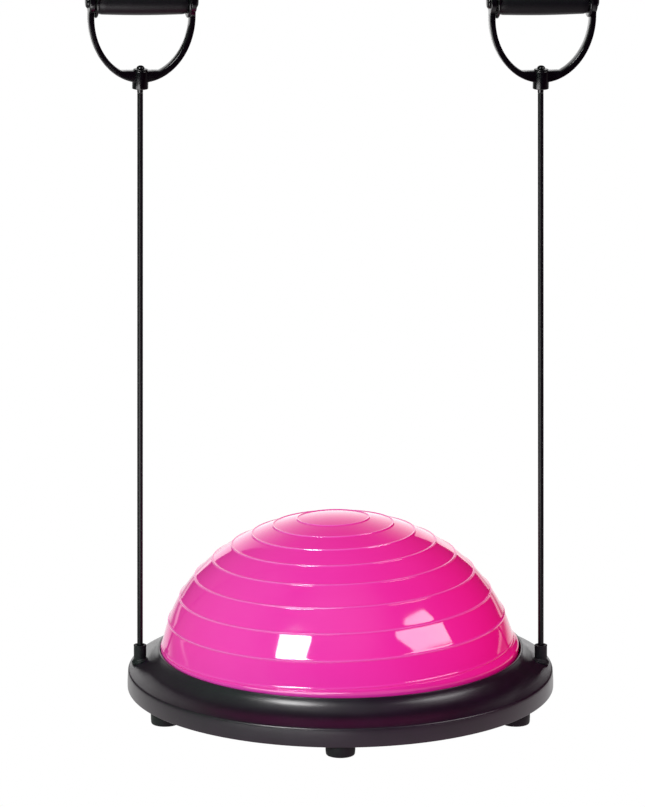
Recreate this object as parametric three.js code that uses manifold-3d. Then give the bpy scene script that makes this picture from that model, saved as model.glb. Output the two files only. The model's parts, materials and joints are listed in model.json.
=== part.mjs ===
// Balance dome trainer: an inflated half dome on a round two-shell base with
// rubber feet, and two elastic tubes that end in swivelling hand grips.
// Millimetres, +Z up, origin on the floor under the middle of the base.
import * as THREE from 'three';
import { mergeVertices } from 'three/addons/utils/BufferGeometryUtils.js';
import Module from 'manifold-3d';

const wasm = await Module();
wasm.setup();

// ---------- driving dimensions ----------
const GAP = 0.3; // clearance between pieces that touch
const RUNNING = 0.4; // radial clearance of a piece that turns in another
const ROUND = 12; // sides of a small round piece
const SMALL = 8; // sides of a screw
const WIDE = 40; // sides of the base and the dome
const REACH = 40; // length of a cutter that must go right through

const base = {
  radius: 225, // widest, low on the lower shell
  widest: 19, // height up to which the wall is that wide
  seamRadius: 224.3,
  bottom: 11.7,
  seam: 30.6,
  wall: 3,
  lipTop: 53.2,
  lipInner: 190.3,
  lipOuter: 192.8,
  valveHole: 26,
};
const dome = {
  semiWidth: 189.5,
  semiHeight: 167,
  centre: 28.5,
  wall: 3.5,
  floorBottom: 19,
  flangeRadius: 202,
  flangeTop: 23,
  valveHole: 9,
};
const foot = { count: 6, ring: 208.5, radius: 15.5, neck: 5.6, bore: 2.4, recess: 5.4, recessDepth: 5 };
const footScrew = { head: 4.6, shank: 2, length: 15 };
const shellScrew = { count: 8, ring: 212, head: 4.4, shank: 1.9, length: 16, bore: 2.4, boss: 5 };
const anchor = {
  radius: 211.7,
  top: 53.8,
  outer: 6.75,
  neck: 4.6,
  hole: 5.4, // hole in the brim that the neck goes through
  flange: 9.1,
  flangeThickness: 2,
  slope: 11.5, // degrees that the brim falls outwards
};
const tube = { radius: 3, steps: 39, sides: 8 };
const lean = 0.68; // degrees that each tube leans towards the middle
const hubHeight = 590.3; // along the tube, from the collar's top to the handle's hub
const hub = { radius: 8.4, height: 19.2, pin: 3.1, washer: 7.4 };
const yoke = {
  outerX: 55,
  outerZ: 67.7,
  innerX: 49.4,
  innerZ: 60.7,
  centre: 74.7, // height of both ellipses' centre above the hub's bottom
  webTop: 18.9,
  depth: 12,
  bossRadius: 12.5,
};
const grip = { axis: 90.1, radius: 14.2, endRadius: 13.3, core: 8, collar: 17, collarThickness: 3 };
const axle = { radius: 3, cap: 7, capHeight: 3 };
const handleYaw = { left: 13.2, right: 8.9 }; // degrees each handle is turned about its tube
const handleTip = 2.3; // degrees that both handles lean towards the front
const handleRoll = 1.2; // degrees that both handles lean to the right

const pink = { color: 0xf02aa0, roughness: 0.22, metalness: 0 };
const satinBlack = { color: 0x17151a, roughness: 0.42, metalness: 0 };
const glossBlack = { color: 0x0c0c0d, roughness: 0.25, metalness: 0 };
const rubberBlack = { color: 0x111111, roughness: 0.65, metalness: 0 };
const foamBlack = { color: 0x1a1a1b, roughness: 0.9, metalness: 0 };
const steel = { color: 0x8d9096, roughness: 0.35, metalness: 1 };

// ---------- helpers ----------
const radians = (degrees) => (degrees * Math.PI) / 180;

// One closed body as a manifold solid, from any closed three.js geometry.
function solid(geometry, matrix = new THREE.Matrix4()) {
  const shape = geometry.clone().applyMatrix4(matrix);
  shape.deleteAttribute('normal');
  shape.deleteAttribute('uv');
  const merged = mergeVertices(shape, 1e-4);
  const mesh = new wasm.Mesh({
    numProp: 3,
    vertProperties: new Float32Array(merged.attributes.position.array),
    triVerts: new Uint32Array(merged.index.array),
  });
  return new wasm.Manifold(mesh);
}

function geometryOf(manifold) {
  const mesh = manifold.getMesh();
  const geometry = new THREE.BufferGeometry();
  geometry.setAttribute('position', new THREE.BufferAttribute(mesh.vertProperties, 3));
  geometry.setIndex(new THREE.BufferAttribute(mesh.triVerts, 1));
  return geometry;
}

const place = (x, y, z) => new THREE.Matrix4().makeTranslation(x, y, z);

// A body turned about Z from (radius, height) points, in order up the outside
// and down the inside; it closes on itself or starts and ends on the axis.
function turned(points, sides = ROUND) {
  const profile = points.map(([r, z]) => new THREE.Vector2(r, z));
  if (points[0][0] > 0) {
    profile.push(profile[0].clone());
  }
  const geometry = new THREE.LatheGeometry(profile, sides);
  return geometry.rotateX(Math.PI / 2);
}

// A straight round bar along Z, used for shafts and for the cutters of holes.
function bar(radius, low, high, sides = ROUND) {
  return turned([[0, low], [radius, low], [radius, high], [0, high]], sides);
}

// A ring of rectangular section about Z.
function ring(inner, outer, low, high, sides = ROUND) {
  return turned([[inner, low], [outer, low], [outer, high], [inner, high]], sides);
}

// Points of an ellipse's arc in the (radius, height) plane, angles in degrees.
function arc(centreR, centreZ, semiR, semiZ, from, to, steps) {
  return Array.from({ length: steps + 1 }, (_, i) => {
    const angle = radians(from + ((to - from) * i) / steps);
    return [centreR + semiR * Math.cos(angle), centreZ + semiZ * Math.sin(angle)];
  });
}

function piece(name, shape, look) {
  const geometry = shape.isBufferGeometry ? shape : geometryOf(shape);
  const mesh = new THREE.Mesh(geometry, new THREE.MeshStandardMaterial(look));
  mesh.name = name;
  return mesh;
}

// The places of count things evenly round the Z axis, the first at start degrees.
function around(count, radius, start) {
  return Array.from({ length: count }, (_, i) => {
    const angle = radians(start + (360 * i) / count);
    return { x: radius * Math.cos(angle), y: radius * Math.sin(angle) };
  });
}

const footPlaces = around(foot.count, foot.ring, -90);
const screwPlaces = around(shellScrew.count, shellScrew.ring, 180 / shellScrew.count);
const model = new THREE.Group();

// ---------- base shells ----------
// Height of the upper shell's brim at a radius: it slopes gently outwards.
const brimEdge = { radius: 221.5, height: 33.2 };
function brimHeight(radius) {
  return brimEdge.height + (brimEdge.radius - radius) * Math.tan(radians(anchor.slope));
}

// The brim curves up into the lip. Points are [out from the lip's outer face,
// down from the lip's top], first for the shell's outer face, then its inner one.
const flareThrough = [[15.7, 17.35], [9.3, 13.7], [3.6, 8.2], [0.8, 3]];
const flareInside = [[0.5, 10.2], [4.1, 13], [7.4, 16], [11.1, 18.4], [15.1, 20.3]];
const flare = new THREE.SplineCurve(flareThrough.map((point) => new THREE.Vector2(...point)));

function topShell() {
  const lipFoot = 30;
  const skirt = { radius: 218.5, height: 31 };
  const fromLip = ([out, down]) => [base.lipOuter + out, base.lipTop - down];
  const outline = [
    [base.seamRadius - base.wall, base.seam + GAP],
    [base.seamRadius, base.seam + GAP],
    [base.seamRadius, base.seam + 1.1],
    [brimEdge.radius, brimEdge.height],
    ...flare.getPoints(6).map((point) => fromLip(point.toArray())),
    [base.lipOuter, base.lipTop - 0.6],
    [base.lipOuter - 0.6, base.lipTop],
    [base.lipInner + 0.6, base.lipTop],
    [base.lipInner, base.lipTop - 0.6],
    [base.lipInner, lipFoot],
    [base.lipInner + base.wall, lipFoot],
    ...flareInside.map(fromLip),
    [skirt.radius, skirt.height],
  ];
  let shell = solid(turned(outline, WIDE));
  for (const { x, y } of screwPlaces) {
    const boss = bar(shellScrew.boss, base.bottom + base.wall + GAP, skirt.height + 1.6, SMALL);
    shell = shell.add(solid(boss, place(x, y, 0)));
    const pilot = bar(shellScrew.bore, base.bottom, skirt.height - 1, SMALL);
    shell = shell.subtract(solid(pilot, place(x, y, 0)));
  }
  for (const side of [-1, 1]) {
    const hole = bar(anchor.hole, -REACH, REACH);
    shell = shell.subtract(solid(hole, tubeFrame(side)));
    const seat = bar(anchor.flange + GAP, -anchor.flangeThickness / 2 - GAP, REACH, 16);
    shell = shell.subtract(solid(seat, tubeFrame(side).multiply(flangeFrame(side))));
  }
  return shell;
}

function bottomShell() {
  const floorTop = base.bottom + base.wall;
  const outline = [
    [base.valveHole, base.bottom],
    [base.radius - 1, base.bottom],
    [base.radius, base.bottom + 1],
    [base.radius, base.widest],
    [base.seamRadius, base.seam],
    [base.seamRadius - base.wall, base.seam],
    [base.seamRadius - base.wall, floorTop],
    [base.valveHole, floorTop],
  ];
  let shell = solid(turned(outline, WIDE));
  for (const { x, y } of footPlaces) {
    const socket = bar(foot.neck + GAP, 0, floorTop + 1);
    shell = shell.subtract(solid(socket, place(x, y, 0)));
  }
  for (const { x, y } of screwPlaces) {
    const hole = bar(shellScrew.bore, 0, floorTop + 1, SMALL);
    shell = shell.subtract(solid(hole, place(x, y, 0)));
  }
  return shell;
}

// ---------- dome ----------
function domeMembrane() {
  const { semiWidth, semiHeight, centre, wall } = dome;
  const innerFloor = dome.floorBottom + wall;
  const seat = semiWidth - 1.2;
  const outline = [
    [dome.valveHole, dome.floorBottom],
    [dome.flangeRadius, dome.floorBottom],
    [dome.flangeRadius, dome.flangeTop],
    [seat, dome.flangeTop],
    [seat, 34],
    ...arc(0, centre, semiWidth - 0.6, semiHeight, 9, 90, 10),
    ...arc(0, centre, semiWidth - wall, semiHeight - wall, 90, 8, 7),
    [semiWidth - wall - 2, innerFloor],
    [dome.valveHole, innerFloor],
  ];
  return turned(outline, WIDE);
}

// The membrane's edge is clamped under this ring, which the screws hold down.
function clampRing() {
  return ring(dome.semiWidth - 0.8, dome.flangeRadius, dome.flangeTop + GAP, dome.flangeTop + 3.3, WIDE);
}

// ---------- valve ----------
const valve = { seatOuter: 14, seatTop: 27, stem: 4, bore: 4.4, plugHead: 10, travel: 11 };

function valveSeat() {
  const under = dome.floorBottom - GAP;
  return turned([
    [valve.bore, under - 3],
    [valve.seatOuter, under - 3],
    [valve.seatOuter, under],
    [dome.valveHole - GAP, under],
    [dome.valveHole - GAP, valve.seatTop],
    [valve.bore, valve.seatTop],
  ]);
}

function valvePlug() {
  const seatBottom = dome.floorBottom - GAP - 3;
  const headTop = seatBottom - GAP;
  return turned([
    [0, headTop - 2],
    [valve.plugHead - 1, headTop - 2],
    [valve.plugHead, headTop - 1],
    [valve.plugHead, headTop],
    [valve.stem, headTop],
    [valve.stem, headTop + valve.travel - 2],
    [valve.stem - 1, headTop + valve.travel],
    [0, headTop + valve.travel],
  ]);
}

// ---------- feet and screws ----------
function footBody() {
  const top = base.bottom - GAP;
  const neckTop = base.bottom + base.wall + 2.4;
  return turned([
    [foot.recess, 0],
    [foot.radius - 1.6, 0],
    [foot.radius, 2],
    [foot.radius, top],
    [foot.neck, top],
    [foot.neck, neckTop],
    [foot.bore, neckTop],
    [foot.bore, foot.recessDepth],
    [foot.recess, foot.recessDepth],
  ], 14);
}

// A pan-head screw whose head's underside is at height, pointing up.
function screw({ head, shank, length }, height) {
  const headHeight = 2.4;
  return turned([
    [0, height - headHeight],
    [head * 0.7, height - headHeight],
    [head, height - headHeight / 2],
    [head, height],
    [shank, height],
    [shank, height + length],
    [0, height + length],
  ], SMALL);
}

// ---------- tubes ----------
// The frame of one side's tube: its origin is on the tube's axis at the
// collar's top, and its Z runs up the tube. side is -1 on the left.
function tubeFrame(side) {
  const turn = new THREE.Matrix4().makeRotationY(radians(-side * lean));
  return place(side * anchor.radius, 0, anchor.top).multiply(turn);
}

// Where the tube's axis passes through the middle of the sloping flange.
const flangeLift = (GAP + 0.2 + anchor.flangeThickness / 2) / Math.cos(radians(anchor.slope));
const flangeHeight = brimHeight(anchor.radius) + flangeLift - anchor.top;
const stopperTop = -30.5;
const nutSize = { radius: 8, height: 4 };

// The flange's frame in the tube's: at its middle, with Z square to the brim.
function flangeFrame(side) {
  const tilt = new THREE.Matrix4().makeRotationY(radians(side * anchor.slope));
  return place(0, 0, flangeHeight).multiply(tilt);
}

// Collar, sloping flange and neck in one moulding, bored for the tube.
function collar(side) {
  const upper = bar(anchor.outer, flangeHeight - 5, 0, 16);
  const neck = bar(anchor.neck, stopperTop + GAP, flangeHeight + 1);
  const flange = bar(anchor.flange, -anchor.flangeThickness / 2, anchor.flangeThickness / 2, 16);
  const below = bar(REACH, -REACH, 0);
  const bore = bar(tube.radius + GAP, -REACH, REACH);
  return solid(upper)
    .subtract(solid(below, flangeFrame(side)))
    .add(solid(neck))
    .add(solid(flange, flangeFrame(side)))
    .subtract(solid(bore));
}

// Hexagonal nut that holds the collar's neck from inside the shell.
function nut() {
  const low = stopperTop + 1.5;
  const hexagon = bar(nutSize.radius, low, low + nutSize.height, 6);
  return solid(hexagon).subtract(solid(bar(anchor.neck + GAP, -REACH, REACH)));
}

function lowerStopper() {
  const { neck } = anchor;
  return turned([
    [0, stopperTop - 7],
    [neck - 1.2, stopperTop - 6.4],
    [neck, stopperTop - 4],
    [neck, stopperTop - 1],
    [neck - 1, stopperTop],
    [0, stopperTop],
  ]);
}

// The route of a tube along its own axis, from the lower stopper to the sleeve.
const sleeveFoot = hubHeight - 4;
const tubeRoute = [[0, 0, stopperTop + GAP], [0, 0, sleeveFoot - GAP]];

function elasticTube() {
  const [low, high] = tubeRoute.map((point) => new THREE.Vector3(...point));
  const section = new THREE.Shape();
  section.absarc(0, 0, tube.radius, 0, 2 * Math.PI);
  return new THREE.ExtrudeGeometry(section, {
    extrudePath: new THREE.LineCurve3(low, high),
    steps: tube.steps,
    curveSegments: tube.sides / 2,
    bevelEnabled: false,
  });
}

// The frame of one handle's hub on its tube: Z up the hub, X along the grip.
function hubFrame(yaw) {
  return place(0, 0, hubHeight)
    .multiply(new THREE.Matrix4().makeRotationX(radians(handleTip)))
    .multiply(new THREE.Matrix4().makeRotationY(radians(handleRoll)))
    .multiply(new THREE.Matrix4().makeRotationZ(radians(yaw)));
}

// The tube's upper end: a sleeve that runs up through the hub as its swivel pin
// and ends in a domed head above the washer.
function tubeEnd() {
  const headFoot = hub.height + 1.7;
  const head = { radius: 4.2, height: 3.4 };
  const outline = [
    [0, -4],
    [hub.pin, -4],
    [hub.pin, headFoot],
    ...arc(0, headFoot, head.radius, head.height, 0, 90, 4),
  ];
  return turned(outline.map(([r, z]) => [Math.max(r, 0), z]));
}

// ---------- handles ----------
// Bow-shaped strap with a flat web over its hub and a round boss at each end.
function yokeBody() {
  const { outerX, outerZ, innerX, innerZ, centre, webTop, depth, bossRadius } = yoke;
  const steps = 10;
  const outline = new THREE.Shape();
  outline.moveTo(-outerX, grip.axis);
  outline.lineTo(-outerX, centre);
  for (let i = 1; i < 2 * steps; i += 1) {
    const angle = Math.PI + (Math.PI * i) / (2 * steps);
    outline.lineTo(outerX * Math.cos(angle), centre + outerZ * Math.sin(angle));
  }
  outline.lineTo(outerX, centre);
  outline.lineTo(outerX, grip.axis);
  outline.lineTo(innerX, grip.axis);
  outline.lineTo(innerX, centre);
  const webAngle = Math.asin((centre - webTop) / innerZ);
  for (let i = 1; i <= steps; i += 1) {
    const angle = -(webAngle * i) / steps;
    outline.lineTo(innerX * Math.cos(angle), centre + innerZ * Math.sin(angle));
  }
  for (let i = steps; i >= 1; i -= 1) {
    const angle = Math.PI + (webAngle * i) / steps;
    outline.lineTo(innerX * Math.cos(angle), centre + innerZ * Math.sin(angle));
  }
  outline.lineTo(-innerX, centre);
  outline.lineTo(-innerX, grip.axis);
  const strap = new THREE.ExtrudeGeometry(outline, { depth, bevelEnabled: false, curveSegments: 1 });
  strap.translate(0, 0, -depth / 2).rotateX(Math.PI / 2);
  let body = solid(strap).add(solid(bar(hub.radius, 0, hub.height, 16)));
  const thickness = outerX - innerX;
  for (const side of [-1, 1]) {
    const boss = bar(bossRadius, -thickness / 2, thickness / 2, 16);
    body = body.add(solid(boss, alongGrip(side * (innerX + thickness / 2))));
    const hole = bar(axle.radius + GAP, -thickness, thickness);
    body = body.subtract(solid(hole, alongGrip(side * (innerX + thickness / 2))));
  }
  return body.subtract(solid(bar(hub.pin + RUNNING, -REACH, REACH)));
}

// Places a body made about Z at x on the grip's axis, with its Z along X.
function alongGrip(x) {
  return place(x, 0, grip.axis).multiply(new THREE.Matrix4().makeRotationY(Math.PI / 2));
}

const gripHalf = yoke.innerX - grip.collarThickness - 2 * RUNNING;

function gripFoam() {
  const outside = [-1, -0.5, 0, 0.5, 1].map((t) => {
    const bulge = Math.cos((t * Math.PI) / 2);
    return [grip.endRadius + (grip.radius - grip.endRadius) * bulge, t * gripHalf];
  });
  return turned([[grip.core + GAP, -gripHalf], ...outside, [grip.core + GAP, gripHalf]], 18);
}

function axleCap(side) {
  const outer = turned([
    [0, 0],
    [axle.cap, 0],
    [axle.cap, 1],
    [axle.cap * 0.8, axle.capHeight * 0.8],
    [0, axle.capHeight],
  ]);
  return side > 0 ? outer : outer.rotateX(Math.PI);
}

function handleGroup(name, yaw) {
  const group = new THREE.Group();
  group.applyMatrix4(hubFrame(yaw));
  const add = (node, shape, look, matrix) => {
    const mesh = piece(`${name}_${node}`, shape, look);
    if (matrix) {
      mesh.applyMatrix4(matrix);
    }
    group.add(mesh);
  };
  const endX = yoke.innerX - RUNNING - grip.collarThickness / 2;
  const collarHalf = grip.collarThickness / 2;
  add('yoke', yokeBody(), glossBlack);
  const washerLow = hub.height + GAP;
  add('hub_washer', ring(hub.pin + RUNNING, hub.washer, washerLow, washerLow + 1), glossBlack);
  add('axle', bar(axle.radius, -yoke.outerX, yoke.outerX), steel, alongGrip(0));
  add('axle_cap_left', axleCap(-1), glossBlack, alongGrip(-yoke.outerX - GAP));
  add('axle_cap_right', axleCap(1), glossBlack, alongGrip(yoke.outerX + GAP));
  add('grip_core', ring(axle.radius + RUNNING, grip.core, -gripHalf, gripHalf), glossBlack, alongGrip(0));
  add('grip_foam', gripFoam(), foamBlack, alongGrip(0));
  for (const [end, side] of [['left', -1], ['right', 1]]) {
    const disc = ring(axle.radius + RUNNING, grip.collar, -collarHalf, collarHalf, 18);
    add(`grip_collar_${end}`, disc, glossBlack, alongGrip(side * endX));
  }
  return group;
}

// ---------- assembly ----------
model.add(piece('base_top_shell', topShell(), satinBlack));
model.add(piece('base_bottom_shell', bottomShell(), satinBlack));
model.add(piece('dome', domeMembrane(), pink));
model.add(piece('clamp_ring', clampRing(), satinBlack));
model.add(piece('valve_seat', valveSeat(), rubberBlack));
model.add(piece('valve_plug', valvePlug(), rubberBlack));

footPlaces.forEach(({ x, y }, i) => {
  const body = piece(`foot_${i + 1}`, footBody(), rubberBlack);
  const fixing = piece(`foot_screw_${i + 1}`, screw(footScrew, foot.recessDepth - GAP), steel);
  body.position.set(x, y, 0);
  fixing.position.set(x, y, 0);
  model.add(body, fixing);
});

screwPlaces.forEach(({ x, y }, i) => {
  const fixing = piece(`shell_screw_${i + 1}`, screw(shellScrew, base.bottom - GAP), steel);
  fixing.position.set(x, y, 0);
  model.add(fixing);
});

for (const [name, side] of [['left', -1], ['right', 1]]) {
  const group = new THREE.Group();
  group.applyMatrix4(tubeFrame(side));
  group.add(piece(`${name}_collar`, collar(side), rubberBlack));
  group.add(piece(`${name}_collar_nut`, nut(), steel));
  group.add(piece(`${name}_lower_stopper`, lowerStopper(), rubberBlack));
  group.add(piece(`${name}_tube`, elasticTube(), rubberBlack));
  const end = piece(`${name}_tube_end`, tubeEnd(), glossBlack);
  end.applyMatrix4(hubFrame(0));
  group.add(end);
  group.add(handleGroup(name, handleYaw[name]));
  model.add(group);
}

export default model;
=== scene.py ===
"""Looks of the balance dome trainer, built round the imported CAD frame. Metres, +Z up."""

import json
import math

import bmesh
import bpy
from mathutils import Matrix, Vector


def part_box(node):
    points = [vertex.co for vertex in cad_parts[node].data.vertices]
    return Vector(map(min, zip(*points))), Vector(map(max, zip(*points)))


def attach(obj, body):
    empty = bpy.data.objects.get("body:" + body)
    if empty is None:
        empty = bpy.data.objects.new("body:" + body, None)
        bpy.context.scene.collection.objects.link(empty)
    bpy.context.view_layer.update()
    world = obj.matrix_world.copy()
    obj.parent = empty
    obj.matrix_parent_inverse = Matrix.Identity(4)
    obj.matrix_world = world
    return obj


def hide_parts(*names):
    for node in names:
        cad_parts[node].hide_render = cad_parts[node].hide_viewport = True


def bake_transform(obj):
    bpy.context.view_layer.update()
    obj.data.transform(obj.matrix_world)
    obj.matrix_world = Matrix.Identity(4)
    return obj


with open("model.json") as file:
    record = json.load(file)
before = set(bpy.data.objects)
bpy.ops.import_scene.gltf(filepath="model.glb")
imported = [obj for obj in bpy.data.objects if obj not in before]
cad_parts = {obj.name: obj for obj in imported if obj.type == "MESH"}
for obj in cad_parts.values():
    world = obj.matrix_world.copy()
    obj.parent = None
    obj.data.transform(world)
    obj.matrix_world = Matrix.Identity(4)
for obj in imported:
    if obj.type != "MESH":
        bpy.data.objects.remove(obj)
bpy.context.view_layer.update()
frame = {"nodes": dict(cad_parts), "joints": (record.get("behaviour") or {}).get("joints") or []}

SIDES = ("left", "right")
joints = {joint["name"]: joint for joint in frame["joints"]}

# ---------- sizes, in metres ----------
SEAM_RADIUS = 0.2243
BASE_RADIUS = 0.225
BASE_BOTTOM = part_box("base_bottom_shell")[0].z
LIP_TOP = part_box("base_top_shell")[1].z
LIP_INNER = 0.1903
LIP_OUTER = 0.1928
SHELL_WALL = 0.003
SHELL_EDGE = 0.0026  # radius of the brim's rounded outer edge
SEAM_DROP = 0.0017  # how far the seam is below the CAD's, because of that edge
SEAM_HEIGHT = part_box("base_bottom_shell")[1].z - SEAM_DROP
SEAM_GAP = 0.0001
BRIM_SLOPE = math.radians(11.5)

DOME_HALF_WIDTH = 0.1889
DOME_HALF_HEIGHT = 0.1668
DOME_CENTRE = 0.0285
DOME_WALL = 0.0035
DOME_RINGS = (0.0377, 0.0631, 0.0854, 0.107, 0.1275, 0.1467, 0.1635, 0.1768)
DOME_RIM = 0.1852
RIM_FOOT = 0.0590  # height just under the rim's groove
DOME_FULLNESS = 0.5  # 1 is a smooth ellipse, 0 is a straight cone in each band
DOME_TILT = math.radians(1.3)  # to the left
DOME_SHIFT = 0.0030  # to the left, above the lip
DOME_LEAN = 0.0015  # to the left, in the upper part only
DOME_SLUMP = math.radians(1.5)  # to the back
DOME_SKIRT = 0.0042  # how far the wall spreads towards the lip on the right
BEAD_HEIGHT = 0.0009
BEAD_WIDTH = 0.0009
RIM_BEAD_HEIGHT = 0.0003
DOME_SEGMENTS = 256
BEAD_ROUGHNESS = 0.08  # more than the smooth vinyl's
# Paler pink painted on the beads: a painted highlight along the rings.
BEAD_HIGHLIGHT_COLOUR = (0.90, 0.10, 0.36)
BEAD_HIGHLIGHT_PALENESS = 0.5  # how far the beads go to that paler pink, a painted highlight along the rings
BEAD_FADE = (0.1, 0.7)  # parts of a bead's height where its painted highlight and extra roughness start and are full

TUBE_LENGTH = 0.5903
TUBE_RADIUS = 0.0030
TUBE_ROUTE = ((0, 0, -0.0302), (0, 0, 0.5860))
COLLAR_RADIUS = 0.00675
FLANGE_RADIUS = 0.0091
FLANGE_DROP = 0.01705

YOKE_OUTER = (0.055, 0.0677)
YOKE_INNER = (0.0494, 0.0607)
YOKE_CENTRE = 0.0747
YOKE_WEB = 0.0189
YOKE_DEPTH = 0.012
HUB_RADIUS = 0.0084
HUB_HEIGHT = 0.0192
GRIP_AXIS = 0.0901

# ---------- light ----------
# Fades are (start, end, value at start, value at end). The floor's are for glossy
# reflections: along y, along x to either side, back to bright far behind, and in the
# shadow under the base.
FLOOR_DEPTH_FADE = (-1.3, -0.5, 0.03, 1.0)
FLOOR_SIDE_FADE = (0.3, 0.75, 1.0, 0.15)
FLOOR_FAR_FADE = (1.2, 2.4, 0.0, 0.8)
FLOOR_SHADOW_FADE = (0.17, 0.25, 0.1, 1.0)
FLOOR_SOFT = (0.92, 0.03, 0.80)
REFLECTED_AMBIENT = (0.02, 0.02, 0.02)
# Soft round glows: azimuth, elevation, core and edge half widths in degrees, colour.
REFLECTED_GLOWS = (
    (-100, 20, 5, 60, (0.15, 0.15, 0.15)),
    (5, 60, 0, 34, (0.45, 0.45, 0.45)),
)
# How bright the patch of floor and the windows are, next to the white floor's 1.
SUNLIT_FLOOR = 8.0
WINDOW_GLOWS = {"left": 38, "right": 9}
WINDOW_DISTANCE = 3.0
BACKDROP_FADE = (0.3, 2.3, 1.6, 0.05)  # with height
# Corners of the backdrop and windows, as azimuth and elevation.
BACKDROP = ((-159, -1), (-144, 50), (159, 50), (162, -1))
WINDOW_LEFT = ((-44.2, 28.6), (-45.5, 45), (-38, 48), (-26, 48.5), (-18, 43.5), (-23.3, 32))
WINDOW_RIGHT = ((46.5, 37.5), (57, 30.3), (87, 24.2), (88, 38.3), (84.5, 42.5), (64, 47), (52, 44))
SOFT_AMBIENT = (0.54, 0.0, 0.04)
SOFT_GLOWS = (
    (-70, 10, 0, 75, (0.55, 5.60, 0.80)),
    (-30, 10, 0, 75, (0.25, 1.30, 2.20)),
    (-30, 45, 0, 75, (0.20, 0.0, 1.25)),
    (80, 30, 0, 75, (0.60, 0.0, 0.45)),
)


# ---------- camera ----------
CAMERA_DISTANCE = 3.8
CAMERA_HEIGHT = 1.157
CAMERA_PITCH = 12.5  # degrees below level
CAMERA_LENS = 166.75  # millimetres
CAMERA_SENSOR = 36  # millimetres wide
CAMERA_SHIFT = -0.0222


def make_camera():
    """A long lens straight in front, above the trainer and looking slightly down."""
    data = bpy.data.cameras.new("camera")
    data.lens = CAMERA_LENS
    data.sensor_width = CAMERA_SENSOR
    data.clip_start = 0.05
    data.clip_end = 60
    data.shift_x = CAMERA_SHIFT
    camera = bpy.data.objects.new("camera", data)
    camera.location = (0, -CAMERA_DISTANCE, CAMERA_HEIGHT)
    camera.rotation_euler = (math.radians(90 - CAMERA_PITCH), 0, 0)
    bpy.context.scene.collection.objects.link(camera)
    bpy.context.scene.camera = camera


# ---------- mesh helpers ----------
def fillet(points, closed=False, steps=4):
    """Rounds each point that has a third number, its corner's setback, with a smooth curve."""
    rounded = []
    count = len(points)
    for i, point in enumerate(points):
        here = Vector(point[:2])
        at_end = not closed and i in (0, count - 1)
        if len(point) < 3 or at_end:
            rounded.append(tuple(here))
            continue
        before = Vector(points[i - 1][:2]) - here
        after = Vector(points[(i + 1) % count][:2]) - here
        first = here + before.normalized() * min(point[2], before.length * 0.49)
        last = here + after.normalized() * min(point[2], after.length * 0.49)
        for k in range(steps + 1):
            t = k / steps
            rounded.append(tuple(first * (1 - t) ** 2 + here * 2 * t * (1 - t) + last * t * t))
    return rounded


def smooth(mesh, angle=35):
    for polygon in mesh.polygons:
        polygon.use_smooth = True
    mesh.set_sharp_from_angle(angle=math.radians(angle))


def add_object(name, mesh, matrix=None):
    piece = bpy.data.objects.new(name, mesh)
    if matrix is not None:
        mesh.transform(matrix)
    bpy.context.scene.collection.objects.link(piece)
    return piece


def lathe(name, profile, segments=48, matrix=None, angle=35, closed=None):
    """A closed turned body from (radius, height) points, up the outside and down the inside."""
    if closed is None:
        closed = profile[0][0] > 1e-7
    work = bmesh.new()
    rings = []
    for radius, height in profile:
        if radius < 1e-7:
            rings.append([work.verts.new((0, 0, height))])
            continue
        turns = [2 * math.pi * i / segments for i in range(segments)]
        rings.append(
            [work.verts.new((radius * math.cos(a), radius * math.sin(a), height)) for a in turns]
        )
    pairs = list(zip(rings, rings[1:]))
    if closed:
        pairs.append((rings[-1], rings[0]))
    for low, high in pairs:
        for i in range(segments):
            j = (i + 1) % segments
            corners = [low[i % len(low)], low[j % len(low)], high[j % len(high)], high[i % len(high)]]
            unique = list(dict.fromkeys(corners))
            if len(unique) > 2:
                work.faces.new(unique)
    bmesh.ops.recalc_face_normals(work, faces=work.faces)
    mesh = bpy.data.meshes.new(name)
    work.to_mesh(mesh)
    work.free()
    smooth(mesh, angle)
    return add_object(name, mesh, matrix)


def slab(name, outline, depth, bevel, matrix=None):
    """A flat outline in X and Z, made depth thick in Y, with its long edges rounded."""
    work = bmesh.new()
    front = [work.verts.new((x, -depth / 2, z)) for x, z in outline]
    face = work.faces.new(front)
    swept = bmesh.ops.extrude_face_region(work, geom=[face])
    moved = [v for v in swept["geom"] if isinstance(v, bmesh.types.BMVert)]
    bmesh.ops.translate(work, verts=moved, vec=(0, depth, 0))
    bmesh.ops.recalc_face_normals(work, faces=work.faces)
    rims = [e for e in work.edges if len(e.link_faces) == 2 and e.calc_face_angle() > 0.7]
    bmesh.ops.bevel(work, geom=rims, offset=bevel, segments=3, affect="EDGES", profile=0.5)
    mesh = bpy.data.meshes.new(name)
    work.to_mesh(mesh)
    work.free()
    return add_object(name, mesh, matrix)


def combine(piece, other, operation):
    """Joins other to piece or cuts it away, and removes other."""
    modifier = piece.modifiers.new("combine", "BOOLEAN")
    modifier.operation = operation
    modifier.solver = "EXACT"
    modifier.object = other
    graph = bpy.context.evaluated_depsgraph_get()
    mesh = bpy.data.meshes.new_from_object(piece.evaluated_get(graph))
    piece.modifiers.clear()
    piece.data = mesh
    bpy.data.objects.remove(other)


def disc(radius, low, high, bevel):
    """Profile of a solid round plate with rounded rims."""
    return fillet([(0, low), (radius, low, bevel), (radius, high, bevel), (0, high)])


def ring_profile(inner, outer, low, high, bevel):
    corners = [(inner, low, bevel), (outer, low, bevel), (outer, high, bevel), (inner, high, bevel)]
    return fillet(corners, closed=True)


def finish_piece(piece, material, body, slot, *nodes):
    """Gives a piece its material, the body it rides on and the CAD nodes it stands for."""
    piece.data.materials.clear()
    piece.data.materials.append(material)
    if body is not None:
        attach(piece, body)
    if nodes:
        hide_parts(*nodes)
    return piece


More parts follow.
